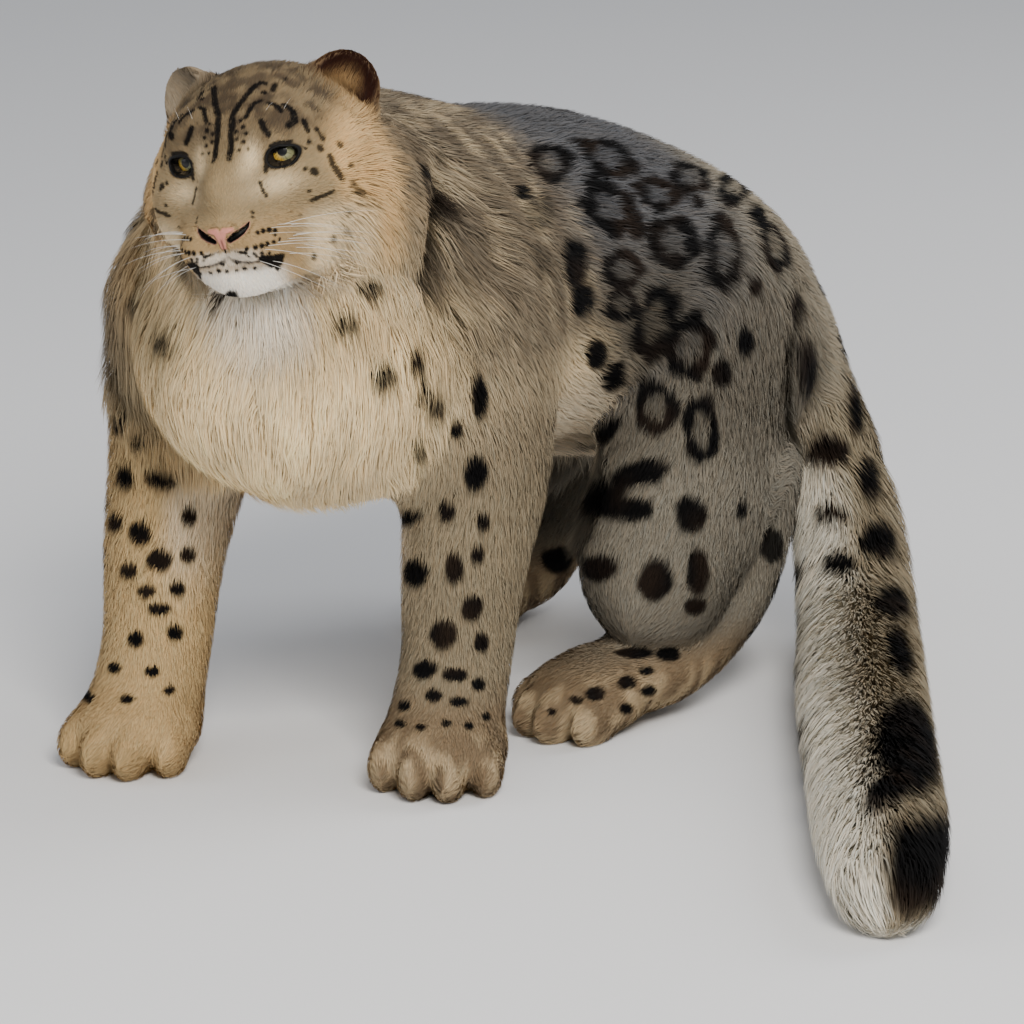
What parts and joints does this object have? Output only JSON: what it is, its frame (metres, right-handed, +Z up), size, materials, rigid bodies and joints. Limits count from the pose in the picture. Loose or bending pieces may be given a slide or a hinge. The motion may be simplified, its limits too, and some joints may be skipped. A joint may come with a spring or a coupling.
{
  "type": "snow leopard",
  "caption": "Life-size snow leopard at a standstill, head turned to its left, thick coat, one hind paw stepped up, long bushy tail laid forward.",
  "frame": {"origin": "middle of the whole animal's plan box, on the floor it stands on", "axes": "+Z up; the animal's body faces -Y and its left side is +X; its head is turned to its left, and the tail is laid forward on that side"},
  "size_m": [0.8838, 0.8444, 0.6149],
  "materials": {
    "coat": "long matt coat",
    "ruff_coat": "long pale matt coat",
    "face_coat": "short matt coat",
    "leg_coat": "dense matt coat",
    "ear": "short matt coat",
    "nose_leather": "moist leather",
    "eye": "wet gloss"
  },
  "bodies": {
    "root": {"head": "face_coat", "neck": "ruff_coat", "torso": "coat", "foreleg_left": "leg_coat", "foreleg_right": "leg_coat", "hindleg_left": "leg_coat", "hindleg_right": "leg_coat", "forepaw_left": "leg_coat", "forepaw_right": "leg_coat", "hindpaw_left": "leg_coat", "hindpaw_right": "leg_coat", "tail_root": "coat", "tail_upper": "coat", "tail_middle": "coat", "tail_tip": "coat", "ear_left": "ear", "ear_right": "ear", "nose": "nose_leather", "eye_left": "eye", "eye_right": "eye"}
  },
  "joints": []
}
